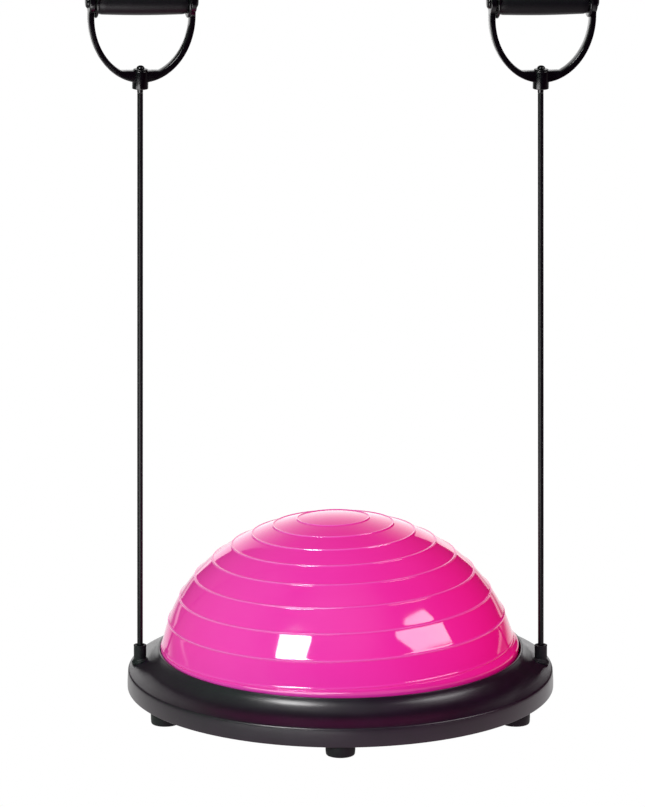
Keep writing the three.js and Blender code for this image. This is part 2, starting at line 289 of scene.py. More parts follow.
# ---------- materials ----------
class Nodes:
    """Short names for making one material's nodes."""

    def __init__(self, name):
        self.material = bpy.data.materials.new(name)
        self.material.use_nodes = True
        self.tree = self.material.node_tree
        self.shader = self.tree.nodes["Principled BSDF"]
        self.position = self.tree.nodes.new("ShaderNodeTexCoord").outputs["Object"]

    def set(self, **values):
        for name, value in values.items():
            self.shader.inputs[name.replace("_", " ")].default_value = value

    def node(self, kind, **values):
        made = self.tree.nodes.new(kind)
        for name, value in values.items():
            made.inputs[name.replace("_", " ")].default_value = value
        return made

    def link(self, output, target):
        self.tree.links.new(output, target)

    def noise(self, scale, detail=2.0, stretch=(1, 1, 1)):
        mapping = self.tree.nodes.new("ShaderNodeMapping")
        mapping.inputs["Scale"].default_value = stretch
        self.link(self.position, mapping.inputs["Vector"])
        noise = self.node("ShaderNodeTexNoise", Scale=scale, Detail=detail)
        self.link(mapping.outputs["Vector"], noise.inputs["Vector"])
        return noise.outputs["Fac"]

    def ramp(self, factor, low, high, start=0.3, end=0.7):
        """Maps a factor to a range of numbers."""
        made = self.tree.nodes.new("ShaderNodeMapRange")
        for name, value in zip(("From Min", "From Max", "To Min", "To Max"), (start, end, low, high)):
            made.inputs[name].default_value = value
        self.link(factor, made.inputs["Value"])
        return made.outputs["Result"]

    def colours(self, factor, first, second, start=0.3, end=0.7):
        """Blends two colours by the factor into the base colour, and returns the blend."""
        made = self.tree.nodes.new("ShaderNodeValToRGB")
        made.color_ramp.elements[0].position = start
        made.color_ramp.elements[1].position = end
        made.color_ramp.elements[0].color = (*first, 1)
        made.color_ramp.elements[1].color = (*second, 1)
        self.link(factor, made.inputs["Fac"])
        self.link(made.outputs["Color"], self.shader.inputs["Base Color"])
        return made.outputs["Color"]

    def bumps(self, *layers):
        """Stacks bump layers, each (height, strength, distance in metres)."""
        normal = None
        for height, strength, distance in layers:
            bump = self.node("ShaderNodeBump", Strength=strength, Distance=distance)
            self.link(height, bump.inputs["Height"])
            if normal is not None:
                self.link(normal, bump.inputs["Normal"])
            normal = bump.outputs["Normal"]
        self.link(normal, self.shader.inputs["Normal"])


def vinyl_material():
    """Glossy pink vinyl, slightly uneven from the air inside; duller on the beads, with a paler pink painted
    along them as their highlight.
    """
    made = Nodes("dome_vinyl")
    made.set(IOR=1.5)
    plain = made.colours(made.noise(14, 3), (0.85, 0.020, 0.225), (0.87, 0.024, 0.235))
    beads = made.tree.nodes.new("ShaderNodeAttribute")
    beads.attribute_name = "bead"
    # The beads' paler pink is a painted highlight, blended in by how far each point stands out.
    highlighted_colour = made.node("ShaderNodeMix")
    highlighted_colour.data_type = "RGBA"
    highlighted_colour.inputs["B"].default_value = (*BEAD_HIGHLIGHT_COLOUR, 1)
    painted_highlight = made.ramp(beads.outputs["Fac"], 0.0, BEAD_HIGHLIGHT_PALENESS, *BEAD_FADE)
    made.link(painted_highlight, highlighted_colour.inputs["Factor"])
    made.link(plain, highlighted_colour.inputs["A"])
    made.link(highlighted_colour.outputs["Result"], made.shader.inputs["Base Color"])
    roughness = made.node("ShaderNodeMath")
    made.link(made.ramp(made.noise(30, 3), 0.045, 0.075), roughness.inputs[0])
    made.link(made.ramp(beads.outputs["Fac"], 0.0, BEAD_ROUGHNESS, *BEAD_FADE), roughness.inputs[1])
    made.link(roughness.outputs["Value"], made.shader.inputs["Roughness"])
    made.bumps((made.noise(5, 1), 0.10, 0.0012))
    return made.material


def shell_material():
    """Satin black moulded plastic with a fine spark-eroded grain."""
    made = Nodes("shell_plastic")
    made.set(IOR=1.46, Specular_IOR_Level=0.45)
    made.colours(made.noise(60, 3), (0.011, 0.0014, 0.0055), (0.015, 0.0024, 0.008))
    made.link(made.ramp(made.noise(25, 2), 0.28, 0.33), made.shader.inputs["Roughness"])
    made.bumps((made.noise(2600, 2), 0.10, 0.00012), (made.noise(700, 2), 0.05, 0.0002))
    return made.material


def handle_material():
    """Glossy black injection-moulded plastic."""
    made = Nodes("handle_plastic")
    made.set(IOR=1.5, Specular_IOR_Level=0.36)
    made.colours(made.noise(90, 2), (0.0015, 0.0006, 0.001), (0.0025, 0.001, 0.0016))
    made.link(made.ramp(made.noise(120, 3), 0.13, 0.21), made.shader.inputs["Roughness"])
    made.bumps((made.noise(160, 2), 0.12, 0.0003), (made.noise(2200, 2), 0.05, 0.0001))
    return made.material


def rubber_material():
    """Matt black rubber of the feet, collars and valve."""
    made = Nodes("black_rubber")
    made.set(IOR=1.5, Specular_IOR_Level=0.2)
    made.colours(made.noise(200, 4), (0.004, 0.0012, 0.002), (0.007, 0.0025, 0.004))
    made.link(made.ramp(made.noise(150, 3), 0.42, 0.60), made.shader.inputs["Roughness"])
    made.bumps((made.noise(1500, 3), 0.25, 0.00018))
    return made.material


def tube_material():
    """Semi-gloss elastic tube, brownish black, with faint drawing lines along it."""
    made = Nodes("tube_rubber")
    made.set(IOR=1.28, Specular_IOR_Level=0.5)
    made.colours(made.noise(120, 2, (1, 1, 0.15)), (0.002, 0.0005, 0.001), (0.003, 0.0008, 0.0015))
    made.link(made.ramp(made.noise(300, 2, (1, 1, 0.1)), 0.30, 0.36), made.shader.inputs["Roughness"])
    made.bumps((made.noise(900, 2, (1, 1, 0.03)), 0.02, 0.0001))
    return made.material


def foam_material():
    """Closed-cell foam: matt black, with fine pores and a soft mottle."""
    made = Nodes("grip_foam")
    made.set(IOR=1.4, Specular_IOR_Level=0.25, Roughness=0.40)
    made.colours(made.noise(220, 4), (0.001, 0.0005, 0.0008), (0.003, 0.0012, 0.002))
    cells = made.node("ShaderNodeTexVoronoi", Scale=1500)
    made.link(made.position, cells.inputs["Vector"])
    made.bumps((cells.outputs["Distance"], 0.15, 0.00015), (made.noise(500, 3), 0.15, 0.0003))
    return made.material


def steel_material():
    """Zinc-plated steel of the screws, nuts and axles."""
    made = Nodes("screw_steel")
    made.set(Metallic=1.0)
    made.colours(made.noise(300, 3), (0.40, 0.41, 0.43), (0.55, 0.56, 0.58))
    made.link(made.ramp(made.noise(500, 3), 0.25, 0.42), made.shader.inputs["Roughness"])
    made.bumps((made.noise(1800, 2, (1, 1, 0.2)), 0.15, 0.0001))
    return made.material


# ---------- dome ----------
def dome_profile():
    """Outline of the dome and its beads, apex first: gently faceted bands between rings."""
    a, b, centre = DOME_HALF_WIDTH, DOME_HALF_HEIGHT, DOME_CENTRE

    def on_ellipse(angle):
        return Vector((a * math.sin(angle), centre + b * math.cos(angle)))

    stops = [0.0] + [math.asin(r / a) for r in (*DOME_RINGS, DOME_RIM)]
    centres = []
    for i, (start, end) in enumerate(zip(stops, stops[1:])):
        first, last = on_ellipse(start), on_ellipse(end)
        blend = 1.0 if i == 0 else DOME_FULLNESS
        for k in range(24):
            t = k / 24
            chord = first.lerp(last, t)
            centres.append(chord.lerp(on_ellipse(start + (end - start) * t), blend))
    centres.append(on_ellipse(stops[-1]))
    return resample(centres, [on_ellipse(s) for s in stops[1:]])


def resample(line, rings):
    """Points along the line, pushed out into a bead at each ring, and how far: 0 to 1."""
    lengths = [0.0]
    for p, q in zip(line, line[1:]):
        lengths.append(lengths[-1] + (q - p).length)

    def at(distance):
        for i in range(1, len(lengths)):
            if lengths[i] >= distance:
                part = (distance - lengths[i - 1]) / max(1e-9, lengths[i] - lengths[i - 1])
                return line[i - 1].lerp(line[i], part)
        return line[-1]

    sizes = [BEAD_HEIGHT] * (len(rings) - 1) + [RIM_BEAD_HEIGHT]
    marks = []
    for ring in rings:
        nearest = min(range(len(line)), key=lambda i: (line[i] - ring).length)
        marks.append(lengths[nearest])
    spots = {0.0, lengths[-1]}
    for mark in marks:
        spots.update(mark + 0.0002 * k for k in range(-10, 11))
    for first, last in zip([0.0] + marks, marks):
        spots.update(first + (last - first) * k / 8 for k in range(1, 8))
    points, beads = [], []
    step = 0.0005
    for spot in sorted(s for s in spots if 0 <= s <= lengths[-1]):
        here = at(spot)
        along = (at(min(spot + step, lengths[-1])) - at(max(spot - step, 0))).normalized()
        outward = Vector((-along.y, along.x))
        lift = sum(size * math.exp(-(((spot - m) / BEAD_WIDTH) ** 2)) for m, size in zip(marks, sizes))
        if here.x < 1e-6:
            outward = Vector((0, 1))
        moved = here + outward * lift
        points.append((max(moved.x, 0.0), moved.y))
        beads.append(lift / BEAD_HEIGHT)
    return points, beads


def ease(value, start, end):
    """0 before start, 1 after end, smooth between."""
    t = min(1, max(0, (value - start) / (end - start)))
    return t * t * (3 - 2 * t)


def sit_askew(vertex):
    """Sets the inflated part slightly to the left and back, its foot spread to the lip."""
    free = ease(vertex.z, 0.030, 0.050)
    top = ease(vertex.z, 0.100, 0.190)
    vertex.z -= vertex.y * math.tan(DOME_SLUMP) * top
    x, z = vertex.x, vertex.z - LIP_TOP
    turned_x = x * math.cos(DOME_TILT) - z * math.sin(DOME_TILT)
    turned_z = x * math.sin(DOME_TILT) + z * math.cos(DOME_TILT)
    vertex.x += (turned_x - x - DOME_SHIFT) * free - DOME_LEAN * ease(vertex.z, 0.060, 0.130)
    vertex.z += (turned_z - z) * free
    spread = 1 - ease(z + LIP_TOP, LIP_TOP, RIM_FOOT)
    vertex.x += DOME_SKIRT * max(0, x / DOME_HALF_WIDTH) ** 2 * spread * free


def mark_beads(mesh, beads):
    """Stores on each of the outline's turned points how far it stands out, for the material."""
    marks = mesh.attributes.new("bead", "FLOAT", "POINT")
    for i, bead in enumerate(beads[1:]):  # the first point is the apex, alone on the axis
        for k in range(DOME_SEGMENTS):
            marks.data[1 + i * DOME_SEGMENTS + k].value = bead


def make_dome(material):
    floor, flange_top, flange = 0.019, 0.0229, 0.2019
    outer, beads = dome_profile()
    rim = outer[-1]
    lower = fillet(
        [
            rim,
            (0.1858, rim[1] - 0.0013, 0.0006),
            (0.1854, rim[1] - 0.0018, 0.0003),
            (0.1865, rim[1] - 0.0024, 0.0004),
            (0.1869, 0.0560, 0.003),
            (0.1871, 0.0480, 0.006),
            (0.1883, flange_top, 0.0015),
            (flange, flange_top, 0.001),
            (flange, floor, 0.001),
            (0.009, floor),
        ]
    )[1:]
    inner = [(0.009, floor + DOME_WALL), (0.182, floor + DOME_WALL)]
    width, height = DOME_HALF_WIDTH - DOME_WALL, DOME_HALF_HEIGHT - DOME_WALL
    inside = [math.radians(a) for a in range(84, 0, -6)]
    inner += [(width * math.sin(a), DOME_CENTRE + height * math.cos(a)) for a in inside]
    top = (0.0, DOME_CENTRE + height)
    dome = lathe("dome_vinyl", outer + lower + inner + [top], DOME_SEGMENTS, angle=60, closed=False)
    mark_beads(dome.data, beads)
    for vertex in dome.data.vertices:
        sit_askew(vertex.co)
    finish_piece(dome, material, "base", "dome_vinyl", "dome")


# ---------- base ----------
def flange_frame(side):
    """Frame in the middle of a collar's sloping flange, Z square to the brim."""
    tilt = Matrix.Rotation((-1 if side == "left" else 1) * BRIM_SLOPE, 4, "Y")
    return tube_matrix(side) @ Matrix.Translation((0, 0, -FLANGE_DROP)) @ tilt


def make_top_shell(material):
    """Brim with a tight outer edge, curving up into the lip round the dome."""
    seam = SEAM_HEIGHT + SEAM_GAP
    reach = 0.01
    turns = [math.radians(8 * k) for k in range(10)]
    edge = [
        (SEAM_RADIUS - SHELL_EDGE * (1 - math.cos(a)), seam + SHELL_EDGE * math.sin(a)) for a in turns
    ]
    outside = [
        (SEAM_RADIUS - SHELL_WALL, seam),
        *edge,
        (0.2085, 0.0358, reach),
        (0.2021, 0.0391, reach),
        (0.1960, 0.0455, reach),
        (0.1938, 0.0495, reach),
        (LIP_OUTER + 0.0001, LIP_TOP - 0.0010, 0.0006),
        (LIP_OUTER - 0.0002, LIP_TOP, 0.0007),
        (LIP_INNER, LIP_TOP, 0.0009),
    ]
    inside = [
        (LIP_INNER, 0.030),
        (LIP_INNER + SHELL_WALL, 0.030),
        (0.1933, 0.0430),
        (0.1969, 0.0402),
        (0.2002, 0.0372),
        (0.2039, 0.0348),
        (0.2079, 0.0325),
        (0.2185, 0.0297),
    ]
    shell = lathe("base_upper_shell", fillet(outside + inside, closed=True, steps=8), 256)
    finish_piece(shell, material, "base", "shell_plastic", "base_top_shell")


def make_bottom_shell(material):
    """Tray with a slightly bellied wall and anti-slip grooves turned into its underside."""
    floor_top = BASE_BOTTOM + SHELL_WALL
    valve_hole = 0.026
    groove = 0.0008
    underside = [(valve_hole, BASE_BOTTOM, 0.0008)]
    for k in range(9):
        radius = 0.045 + 0.016 * k
        underside += [
            (radius, BASE_BOTTOM),
            (radius + 0.0006, BASE_BOTTOM + groove),
            (radius + 0.0020, BASE_BOTTOM + groove),
            (radius + 0.0026, BASE_BOTTOM),
        ]
    wall = [
        (0.2246, BASE_BOTTOM, 0.0003),
        (BASE_RADIUS, BASE_BOTTOM + 0.0006, 0.0004),
        (BASE_RADIUS, 0.0190, 0.005),
        (SEAM_RADIUS, SEAM_HEIGHT, 0.0003),
        (SEAM_RADIUS - SHELL_WALL, SEAM_HEIGHT),
        (SEAM_RADIUS - SHELL_WALL, floor_top),
        (valve_hole, floor_top, 0.0008),
    ]
    shell = lathe("base_lower_shell", fillet(underside + wall, closed=True), 256)
    finish_piece(shell, material, "base", "shell_plastic", "base_bottom_shell")


def node_centre(node):
    low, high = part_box(node)
    return (low + high) / 2


def make_screw(name, node, head_radius, shank_radius, material):
    """Pan head with a cross recess, seen from below, on a plain shank."""
    low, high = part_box(node)
    centre = node_centre(node)
    head = 0.0024
    outline = fillet(
        [
            (0, low.z),
            (head_radius, low.z, 0.0016),
            (head_radius, low.z + head, 0.0002),
            (shank_radius, low.z + head),
            (shank_radius, high.z, 0.0006),
            (0, high.z),
        ]
    )
    place = Matrix.Translation((centre.x, centre.y, 0))
    screw = lathe(name, outline, 24, place)
    for turn in (0, 90):
        bar = bpy.data.meshes.new("slot")
        work = bmesh.new()
        bmesh.ops.create_cube(work, size=1)
        work.to_mesh(bar)
        work.free()
        size = Matrix.Diagonal((head_radius * 1.15, head_radius * 0.28, 0.0024, 1))
        spin = Matrix.Translation((centre.x, centre.y, low.z)) @ Matrix.Rotation(math.radians(turn), 4, "Z")
        combine(screw, add_object("slot", bar, spin @ size), "DIFFERENCE")
    smooth(screw.data, 30)
    finish_piece(screw, material, "base", "screw_steel", node)


def make_foot(index, material):
    node = f"foot_{index}"
    low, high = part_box(node)
    centre = node_centre(node)
    radius = (high.x - low.x) / 2
    top = BASE_BOTTOM - 0.0003
    outline = fillet(
        [
            (0.0054, 0, 0.0004),
            (0.0108, 0, 0.0003),
            (0.0112, 0.0007, 0.0002),
            (0.0120, 0.0007, 0.0002),
            (0.0124, 0, 0.0003),
            (radius - 0.0004, 0, 0.0022),
            (radius, 0.006, 0.002),
            (radius, top, 0.0003),
            (0.0056, top),
            (0.0056, high.z, 0.0006),
            (0.0024, high.z),
            (0.0024, 0.005),
            (0.0054, 0.005),
        ],
        closed=True,
    )
    foot = lathe(f"foot_{index}_rubber", outline, 64, Matrix.Translation((centre.x, centre.y, 0)))
    finish_piece(foot, material, "base", "black_rubber", node)


def make_valve(material):
    seat_low, seat_high = (corner.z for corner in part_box("valve_seat"))
    plug_low, plug_high = (corner.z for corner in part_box("valve_plug"))
    flange = seat_low + 0.003
    seat = fillet(
        [
            (0.0044, seat_low, 0.0005),
            (0.0115, seat_low, 0.0004),
            (0.0140, seat_low + 0.0012, 0.0006),
            (0.0140, flange, 0.0004),
            (0.0086, flange),
            (0.0086, seat_high, 0.0006),
            (0.0044, seat_high, 0.0006),
        ],
        closed=True,
    )
    finish_piece(lathe("valve_seat_rubber", seat, 64), material, "base", "black_rubber", "valve_seat")
    head = plug_low + 0.002
    plug = fillet(
        [
            (0, plug_low + 0.0008),
            (0.0045, plug_low + 0.0008, 0.0008),
            (0.0060, plug_low, 0.0004),
            (0.0092, plug_low, 0.0008),
            (0.0100, plug_low + 0.0010, 0.0004),
            (0.0100, head, 0.0003),
            (0.0040, head),
            (0.0040, plug_high - 0.002, 0.0006),
            (0.0031, plug_high, 0.0004),
            (0, plug_high),
        ]
    )
    finish_piece(lathe("valve_plug_rubber", plug, 64), material, "valve_plug", "black_rubber", "valve_plug")


# ---------- tubes and their ends ----------
def handle_matrix(side):
    """Frame at the hub's bottom: Z up the tube, X along the grip."""
    swivel = joints[f"{side}_handle_swivel"]
    up = Vector(swivel["axis"]).normalized()
    along = Vector(joints[f"{side}_grip_spin"]["axis"]).normalized()
    across = up.cross(along).normalized()
    columns = Matrix((along, across, up)).transposed().to_4x4()
    return Matrix.Translation(swivel["pos_m"]) @ columns


def tube_matrix(side):
    """Frame at the collar's top: Z up the tube, X to the right."""
    up = Vector(joints[f"{side}_tube_stretch"]["axis"]).normalized()
    across = up.cross(Vector((1, 0, 0))).normalized()
    along = across.cross(up).normalized()
    columns = Matrix((along, across, up)).transposed().to_4x4()
    origin = Vector(joints[f"{side}_handle_swivel"]["pos_m"]) - up * TUBE_LENGTH
    return Matrix.Translation(origin) @ columns


def make_collar(side, material):
    """Rubber collar with a rounded hollow top, on a flange that lies along the sloping brim."""
    frame_here = tube_matrix(side)
    upper = fillet(
        [
            (0.0031, -0.0302),
            (0.0046, -0.0302, 0.0004),
            (0.0046, -FLANGE_DROP - 0.0002),
            (0.0066, -FLANGE_DROP - 0.0002),
            (0.0066, -0.0018, 0.0008),
            (COLLAR_RADIUS, -0.0012, 0.0006),
            (COLLAR_RADIUS, 0, 0.0011),
            (0.0044, 0, 0.0010),
            (0.0033, -0.0016, 0.0006),
        ],
        closed=True,
    )
    collar = lathe(f"{side}_collar_rubber", upper, 64, frame_here)
    flange = fillet(
        [
            (0.0040, -0.0025),
            (FLANGE_RADIUS, -0.0025, 0.0005),
            (FLANGE_RADIUS, 0.0002, 0.0007),
            (0.0078, 0.0009, 0.0008),
            (0.0066, 0.0028, 0.0010),
            (0.0040, 0.0030),
        ],
        closed=True,
    )
    combine(collar, lathe("flange", flange, 64, flange_frame(side)), "UNION")
    smooth(collar.data, 40)
    finish_piece(collar, material, "base", "black_rubber", f"{side}_collar")


def make_tube(side, material):
    """The elastic tube, from the stopper inside the base to the sleeve under the hub."""
    frame_here = tube_matrix(side)
    low, high = (frame_here @ Vector(point) for point in TUBE_ROUTE)
    steps, sides = 60, 24
    route = [low.lerp(high, i / steps) for i in range(steps + 1)]
    work = bmesh.new()
    rings = []
    for point in route:
        turns = [2 * math.pi * k / sides for k in range(sides)]
        offsets = [Vector((math.cos(a), math.sin(a), 0)) * TUBE_RADIUS for a in turns]
        rings.append([work.verts.new(point + frame_here.to_3x3() @ offset) for offset in offsets])
    for first, second in zip(rings, rings[1:]):
        for k in range(sides):
            j = (k + 1) % sides
            work.faces.new((first[k], first[j], second[j], second[k]))
    work.faces.new(reversed(rings[0]))
    work.faces.new(rings[-1])
    bmesh.ops.recalc_face_normals(work, faces=work.faces)
    mesh = bpy.data.meshes.new(f"{side}_tube_elastic")
    work.to_mesh(mesh)
    work.free()
    smooth(mesh)
    tube = finish_piece(
        add_object(f"{side}_tube_elastic", mesh), material, None, "tube_rubber", f"{side}_tube"
    )
    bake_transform(tube)


def make_tube_end(side, material):
    """Sleeve, swivel pin and domed head in one piece."""
    head = HUB_HEIGHT + 0.0017
    outline = fillet(
        [
            (0, -0.0040),
            (0.0031, -0.0040, 0.0005),
            (0.0031, head),
            (0.0042, head, 0.0002),
        ]
    )
    dome = [math.radians(a) for a in range(6, 90, 7)]
    outline += [(0.0042 * math.cos(a), head + 0.0004 + 0.0030 * math.sin(a)) for a in dome]
    outline.append((0, head + 0.0034))
    end = lathe(f"{side}_tube_end_plug", outline, 48, handle_matrix(side))
    finish_piece(end, material, f"{side}_tube_end", "handle_plastic", f"{side}_tube_end")


# ---------- handles ----------
def yoke_outline():
    """Bow of two half ellipses with a flat web over the hub, legs up to the grip's axis."""
    steps = 48
    outer = []
    for i in range(steps + 1):
        angle = math.pi + math.pi * i / steps
        outer.append((YOKE_OUTER[0] * math.cos(angle), YOKE_CENTRE + YOKE_OUTER[1] * math.sin(angle)))
    web = math.asin((YOKE_CENTRE - YOKE_WEB) / YOKE_INNER[1])
    inner = []
    for i in range(steps // 2 + 1):
        angle = -web * i / (steps // 2)
        inner.append((YOKE_INNER[0] * math.cos(angle), YOKE_CENTRE + YOKE_INNER[1] * math.sin(angle)))
    inner += [(-x, z) for x, z in reversed(inner)]
    top = [(YOKE_OUTER[0], GRIP_AXIS), (YOKE_INNER[0], GRIP_AXIS)]
    other_top = [(-YOKE_INNER[0], GRIP_AXIS), (-YOKE_OUTER[0], GRIP_AXIS)]
    return outer + top + inner + other_top


def along_grip(side, x):
    """Frame of a round piece on the grip's axis, with its Z along the grip."""
    return handle_matrix(side) @ Matrix.Translation((x, 0, GRIP_AXIS)) @ Matrix.Rotation(math.pi / 2, 4, "Y")


def make_yoke(side, material):
    frame_here = handle_matrix(side)
    yoke = slab(f"{side}_yoke_bow", yoke_outline(), YOKE_DEPTH, 0.0008, frame_here)
    hub = lathe("hub", disc(HUB_RADIUS, 0, HUB_HEIGHT, 0.0012), 64, frame_here)
    combine(yoke, hub, "UNION")
    middle = (YOKE_OUTER[0] + YOKE_INNER[0]) / 2
    half = (YOKE_OUTER[0] - YOKE_INNER[0]) / 2 + 0.00002
    for sign in (-1, 1):
        boss = lathe("boss", disc(0.0125, -half, half, 0.0008), 64, along_grip(side, sign * middle))
        combine(yoke, boss, "UNION")
        hole = lathe("hole", disc(0.0033, -0.01, 0.01, 0), 32, along_grip(side, sign * middle))
        combine(yoke, hole, "DIFFERENCE")
    bore = lathe("bore", disc(0.0035, -0.01, 0.03, 0), 32, frame_here)
    combine(yoke, bore, "DIFFERENCE")
    smooth(yoke.data, 32)
    finish_piece(yoke, material, f"{side}_handle", "handle_plastic", f"{side}_yoke")


def make_handle_trim(side, material):
    """Washer on the hub and a domed cap on each end of the axle."""
    washer_low = HUB_HEIGHT + 0.0003
    washer = lathe(
        f"{side}_washer",
        ring_profile(0.0035, 0.0074, washer_low, washer_low + 0.0010, 0.0004),
        48,
        handle_matrix(side),
    )
    finish_piece(washer, material, f"{side}_handle", "handle_plastic", f"{side}_hub_washer")
    cap_profile = fillet(
        [(0, 0), (0.0070, 0, 0.0003), (0.0070, 0.0012, 0.0006), (0.0052, 0.0027, 0.0016), (0, 0.0030)]
    )
    for end, sign in (("left", -1), ("right", 1)):
        place = along_grip(side, sign * (YOKE_OUTER[0] + 0.0003))
        if sign < 0:
            place = place @ Matrix.Rotation(math.pi, 4, "X")
        cap = lathe(f"{side}_cap_{end}", cap_profile, 48, place)
        finish_piece(cap, material, f"{side}_handle", "handle_plastic", f"{side}_axle_cap_{end}")


def make_grip(side, foam, plastic):
    """Bellied foam sleeve between two glossy end collars."""
    half = YOKE_INNER[0] - 0.0038
    bore = 0.0083
    belly = []
    for k in range(25):
        t = -1 + 2 * k / 24
        radius = 0.0133 + 0.0009 * math.cos(t * math.pi / 2)
        edge = max(0.0, abs(t) - 0.96) / 0.04
        belly.append((radius - 0.0008 * edge * edge, t * half))
    sleeve = lathe(f"{side}_foam_sleeve", [(bore, -half), *belly, (bore, half)], 96, along_grip(side, 0))
    finish_piece(sleeve, foam, f"{side}_grip", "grip_foam", f"{side}_grip_foam")
    profile = fillet(
        [
            (0.0034, -0.0015),
            (0.0150, -0.0015, 0.0006),
            (0.0170, -0.0009, 0.0008),
            (0.0170, 0.0009, 0.0008),
            (0.0150, 0.0015, 0.0006),
            (0.0034, 0.0015),
        ],
        closed=True,
    )
    for end, sign in (("left", -1), ("right", 1)):
        place = along_grip(side, sign * (YOKE_INNER[0] - 0.0019))
        collar = lathe(f"{side}_end_collar_{end}", profile, 96, place)
        finish_piece(collar, plastic, f"{side}_grip", "handle_plastic", f"{side}_grip_collar_{end}")


# ---------- studio ----------
def emission_material(name, strength):
    material = bpy.data.materials.new(name)
    material.use_nodes = True
    tree = material.node_tree
    tree.nodes.clear()
    output = tree.nodes.new("ShaderNodeOutputMaterial")
    glow = tree.nodes.new("ShaderNodeEmission")
    glow.inputs["Color"].default_value = (1, 1, 1, 1)
    glow.inputs["Strength"].default_value = strength
    tree.links.new(glow.outputs[0], output.inputs["Surface"])
    return material


def floor_material():
    """White to the camera, a lit sweep to glossy rays, tinted soft light; clear from below."""
    material = emission_material("floor", 1.0)
    tree = material.node_tree
    path = tree.nodes.new("ShaderNodeLightPath")
    place = tree.nodes.new("ShaderNodeTexCoord").outputs["Object"]
    parts = tree.nodes.new("ShaderNodeSeparateXYZ")
    tree.links.new(place, parts.inputs[0])
    radius = tree.nodes.new("ShaderNodeVectorMath")
    radius.operation = "LENGTH"
    tree.links.new(place, radius.inputs[0])

    def maths(operation, *values):
        made = tree.nodes.new("ShaderNodeMath")
        made.operation = operation
        for value, target in zip(values, made.inputs):
            tree.links.new(value, target)
        return made.outputs["Value"]

    def fade(value, row):
        made = tree.nodes.new("ShaderNodeMapRange")
        made.interpolation_type = "SMOOTHSTEP"
        for name, number in zip(("From Min", "From Max", "To Min", "To Max"), row):
            made.inputs[name].default_value = number
        tree.links.new(value, made.inputs["Value"])
        return made.outputs["Result"]

    def mix(test, first, second):
        made = tree.nodes.new("ShaderNodeMixShader")
        tree.links.new(test, made.inputs["Fac"])
        tree.links.new(first, made.inputs[1])
        tree.links.new(second, made.inputs[2])
        return made.outputs[0]

    sides = fade(maths("ABSOLUTE", parts.outputs["X"]), FLOOR_SIDE_FADE)
    wide = maths("ADD", sides, fade(parts.outputs["Y"], FLOOR_FAR_FADE))
    open_floor = maths("MULTIPLY", fade(parts.outputs["Y"], FLOOR_DEPTH_FADE), wide)
    brightness = maths("MULTIPLY", open_floor, fade(radius.outputs["Value"], FLOOR_SHADOW_FADE))
    reflected = tree.nodes.new("ShaderNodeEmission")
    tree.links.new(brightness, reflected.inputs["Strength"])
    soft = tree.nodes.new("ShaderNodeEmission")
    soft.inputs["Color"].default_value = (*FLOOR_SOFT, 1)
    clear = tree.nodes.new("ShaderNodeBsdfTransparent")
    facing = tree.nodes.new("ShaderNodeNewGeometry")
    unseen = mix(path.outputs["Is Glossy Ray"], soft.outputs[0], reflected.outputs[0])
    shown = mix(path.outputs["Is Camera Ray"], unseen, tree.nodes["Emission"].outputs[0])
    above = mix(facing.outputs["Backfacing"], shown, clear.outputs[0])
    tree.links.new(above, tree.nodes["Material Output"].inputs["Surface"])
    return material


def flat_piece(name, points):
    """One flat face between the points."""
    mesh = bpy.data.meshes.new(name)
    mesh.from_pydata(points, [], [tuple(range(len(points)))])
    return add_object(name, mesh)


def make_floor():
    reach = 14
    corners = ((-1, -1), (1, -1), (1, 1), (-1, 1))
    floor = flat_piece("floor", [(x * reach, y * reach, 0) for x, y in corners])
    floor.location.z = -0.0005
    floor.data.materials.append(floor_material())


def towards(azimuth, elevation):
    """Direction with azimuth 0 at the camera's side, 90 at +X, and elevation above the floor."""
    a, e = math.radians(azimuth), math.radians(elevation)
    return Vector((math.sin(a) * math.cos(e), -math.cos(a) * math.cos(e), math.sin(e)))


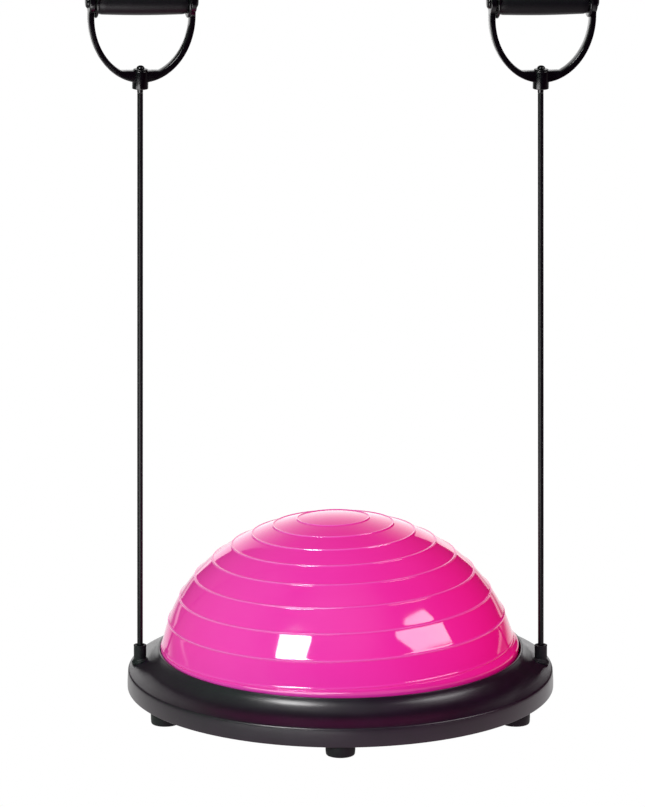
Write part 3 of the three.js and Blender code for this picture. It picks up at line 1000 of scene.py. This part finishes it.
def make_world():
    """Plain white to the camera; a soft studio made of broad glows to all other rays."""
    world = bpy.data.worlds.new("studio")
    world.use_nodes = True
    tree = world.node_tree
    tree.nodes.clear()

    def node(kind, **values):
        made = tree.nodes.new(kind)
        for name, value in values.items():
            made.inputs[name.replace("_", " ")].default_value = value
        return made

    direction = tree.nodes.new("ShaderNodeTexCoord").outputs["Generated"]
    path = tree.nodes.new("ShaderNodeLightPath")

    def glows(ambient, rows):
        """Sum of soft round glows: direction, half widths of core and edge, colour."""
        total = node("ShaderNodeVectorMath").outputs["Vector"]
        total.node.operation = "ADD"
        total.node.inputs[0].default_value = ambient
        for azimuth, elevation, core, edge, colour in rows:
            dot = node("ShaderNodeVectorMath")
            dot.operation = "DOT_PRODUCT"
            dot.inputs[1].default_value = towards(azimuth, elevation)
            tree.links.new(direction, dot.inputs[0])
            fade = node(
                "ShaderNodeMapRange",
                From_Min=math.cos(math.radians(edge)),
                From_Max=math.cos(math.radians(core)),
            )
            fade.interpolation_type = "SMOOTHSTEP"
            tree.links.new(dot.outputs["Value"], fade.inputs["Value"])
            tint = node("ShaderNodeVectorMath")
            tint.operation = "SCALE"
            tint.inputs[0].default_value = colour
            tree.links.new(fade.outputs["Result"], tint.inputs["Scale"])
            add = node("ShaderNodeVectorMath")
            add.operation = "ADD"
            tree.links.new(total, add.inputs[0])
            tree.links.new(tint.outputs["Vector"], add.inputs[1])
            total = add.outputs["Vector"]
        return total

    def light(colour, strength=1.0):
        background = node("ShaderNodeBackground", Strength=strength)
        if isinstance(colour, tuple):
            background.inputs["Color"].default_value = colour
        else:
            tree.links.new(colour, background.inputs["Color"])
        return background.outputs[0]

    def choose(test, first, second):
        mix = tree.nodes.new("ShaderNodeMixShader")
        tree.links.new(test, mix.inputs["Fac"])
        tree.links.new(first, mix.inputs[1])
        tree.links.new(second, mix.inputs[2])
        return mix.outputs[0]

    reflected = light(glows(REFLECTED_AMBIENT, REFLECTED_GLOWS))
    lit = light(glows(SOFT_AMBIENT, SOFT_GLOWS))
    soft = choose(path.outputs["Is Glossy Ray"], lit, reflected)
    output = tree.nodes.new("ShaderNodeOutputWorld")
    shown = choose(path.outputs["Is Camera Ray"], soft, light((1, 1, 1, 1)))
    tree.links.new(shown, output.inputs["Surface"])
    bpy.context.scene.world = world


def hide_from_camera(piece, strength):
    """Makes a studio piece glow white, for glossy reflections only."""
    piece.data.materials.append(emission_material(piece.name, strength))
    piece.visible_camera = False
    piece.visible_diffuse = False
    piece.visible_shadow = False
    return piece


def window(name, corners, strength):
    """A lit window seen only in reflections, from its corners' azimuths and elevations."""
    middle = Vector((0, 0, 0.1))
    points = [tuple(middle + towards(*corner) * WINDOW_DISTANCE) for corner in corners]
    return hide_from_camera(flat_piece(name, points), strength)


def make_backdrop():
    """White sweep behind, seen only in reflections, fading upwards."""
    backdrop = window("backdrop", BACKDROP, 1.0)
    tree = backdrop.data.materials[0].node_tree
    height = tree.nodes.new("ShaderNodeSeparateXYZ")
    fade = tree.nodes.new("ShaderNodeMapRange")
    fade.interpolation_type = "SMOOTHSTEP"
    for name, value in zip(("From Min", "From Max", "To Min", "To Max"), BACKDROP_FADE):
        fade.inputs[name].default_value = value
    tree.links.new(tree.nodes.new("ShaderNodeTexCoord").outputs["Object"], height.inputs[0])
    tree.links.new(height.outputs["Z"], fade.inputs["Value"])
    tree.links.new(fade.outputs["Result"], tree.nodes["Emission"].inputs["Strength"])


def make_sunlit_floor():
    """Patch of floor to the front left that the window lights, seen only in reflections."""
    outline = [(-0.6, -0.5), (-2.2, -1.1), (-1.2, -2.4), (-0.4, -2.3), (0.1, -0.7), (-0.1, -0.5)]
    patch = flat_piece("sunlit_floor", [(x, y, 0.0002) for x, y in outline])
    hide_from_camera(patch, SUNLIT_FLOOR)


def make_studio():
    make_floor()
    make_world()
    make_backdrop()
    window("window_left", WINDOW_LEFT, WINDOW_GLOWS["left"])
    window("window_right", WINDOW_RIGHT, WINDOW_GLOWS["right"])
    make_sunlit_floor()


# ---------- build ----------
make_camera()

vinyl = vinyl_material()
shell = shell_material()
plastic = handle_material()
rubber = rubber_material()
tube_rubber = tube_material()
foam = foam_material()
steel = steel_material()

for side in SIDES:
    make_tube(side, tube_rubber)
    make_tube_end(side, plastic)
    make_collar(side, rubber)
    make_yoke(side, plastic)
    make_handle_trim(side, plastic)
    make_grip(side, foam, plastic)

make_dome(vinyl)
make_top_shell(shell)
make_bottom_shell(shell)
make_valve(rubber)
for index in range(1, 7):
    make_foot(index, rubber)
    make_screw(f"foot_{index}_screw", f"foot_screw_{index}", 0.0046, 0.0020, steel)
for index in range(1, 9):
    make_screw(f"base_screw_{index}", f"shell_screw_{index}", 0.0044, 0.0019, steel)

# Inner parts that stay the CAD's own solids, with these looks.
kept = {
    "clamp_ring": shell,
    **{f"{side}_{part}": steel for side in SIDES for part in ("collar_nut", "axle")},
    **{f"{side}_lower_stopper": rubber for side in SIDES},
    **{f"{side}_grip_core": plastic for side in SIDES},
}
for node, material in kept.items():
    frame["nodes"][node].data.materials.clear()
    frame["nodes"][node].data.materials.append(material)

make_studio()
bpy.context.scene.view_settings.view_transform = "Standard"
